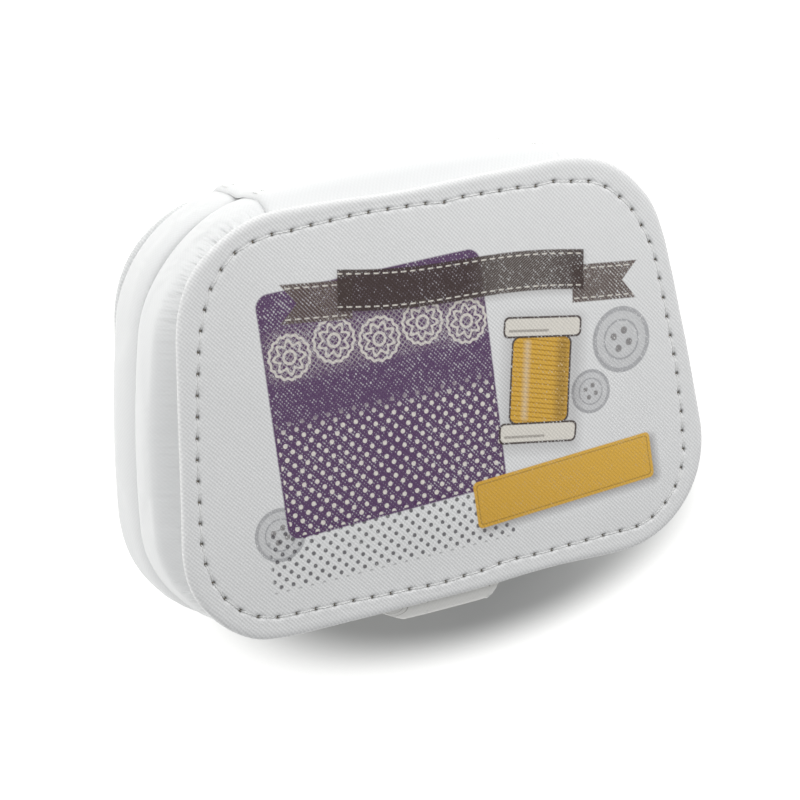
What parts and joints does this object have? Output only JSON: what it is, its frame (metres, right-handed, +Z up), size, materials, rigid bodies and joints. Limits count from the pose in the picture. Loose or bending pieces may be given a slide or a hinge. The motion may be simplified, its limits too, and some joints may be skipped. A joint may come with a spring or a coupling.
{
  "type": "bobbin box",
  "caption": "Small padded leathercloth case with a hinged lid and a strap closure, for sewing bobbins kept on edge in foam slots.",
  "frame": {"origin": "middle of the outer face of the base's panel, which the case lies on", "axes": "+X along the hinge, +Y towards the hinge, +Z up through the lid"},
  "size_m": [0.1174, 0.0882, 0.034],
  "materials": {
    "leathercloth": "fine cross-hatched grain, satin",
    "board": "matt",
    "thread": "twisted thread",
    "lining": "matt weave",
    "padding_foam": "soft foam, matt",
    "insert_foam": "closed-cell foam, matt",
    "velvet": "short pile",
    "magnet_steel": "plated"
  },
  "bodies": {
    "base": {"base_board": "board", "base_panel_cover": "leathercloth", "base_stitching": "thread", "base_floor_lining": "lining", "base_wall_frame": "board", "base_wall_padding": "padding_foam", "base_wall_cover": "leathercloth", "base_wall_lining": "lining", "insert_floor": "insert_foam", "insert_rails": "insert_foam", "front_dividers": "insert_foam", "middle_dividers": "insert_foam", "hinge_dividers": "insert_foam", "keeper_disc": "magnet_steel", "base_hinge_strip": "leathercloth", "base_hinge_tacks": "thread"},
    "lid": {"lid_board": "board", "lid_face_foam": "padding_foam", "lid_panel_cover": "leathercloth", "lid_stitching": "thread", "lid_floor_lining": "lining", "lid_wall_frame": "board", "lid_wall_padding": "padding_foam", "lid_wall_cover": "leathercloth", "lid_wall_lining": "lining", "lid_pad_foam": "padding_foam", "lid_pad_velvet": "velvet", "lid_hinge_strip": "leathercloth", "lid_hinge_tacks": "thread", "strap_root": "leathercloth"},
    "strap": {"strap_outer": "leathercloth", "strap_core": "board", "strap_lining": "leathercloth", "strap_magnet": "magnet_steel", "strap_stitching": "thread"}
  },
  "joints": [
    {"name": "lid_open", "type": "hinge", "parent": "base", "child": "lid", "pos_m": [0, 0.04285, 0.0172], "axis": [-1, 0, 0], "range_deg": [0, 110]},
    {"name": "strap_open", "type": "hinge", "parent": "lid", "child": "strap", "pos_m": [0, -0.04345, 0.0298], "axis": [-1, 0, 0], "range_deg": [0, 150]}
  ]
}
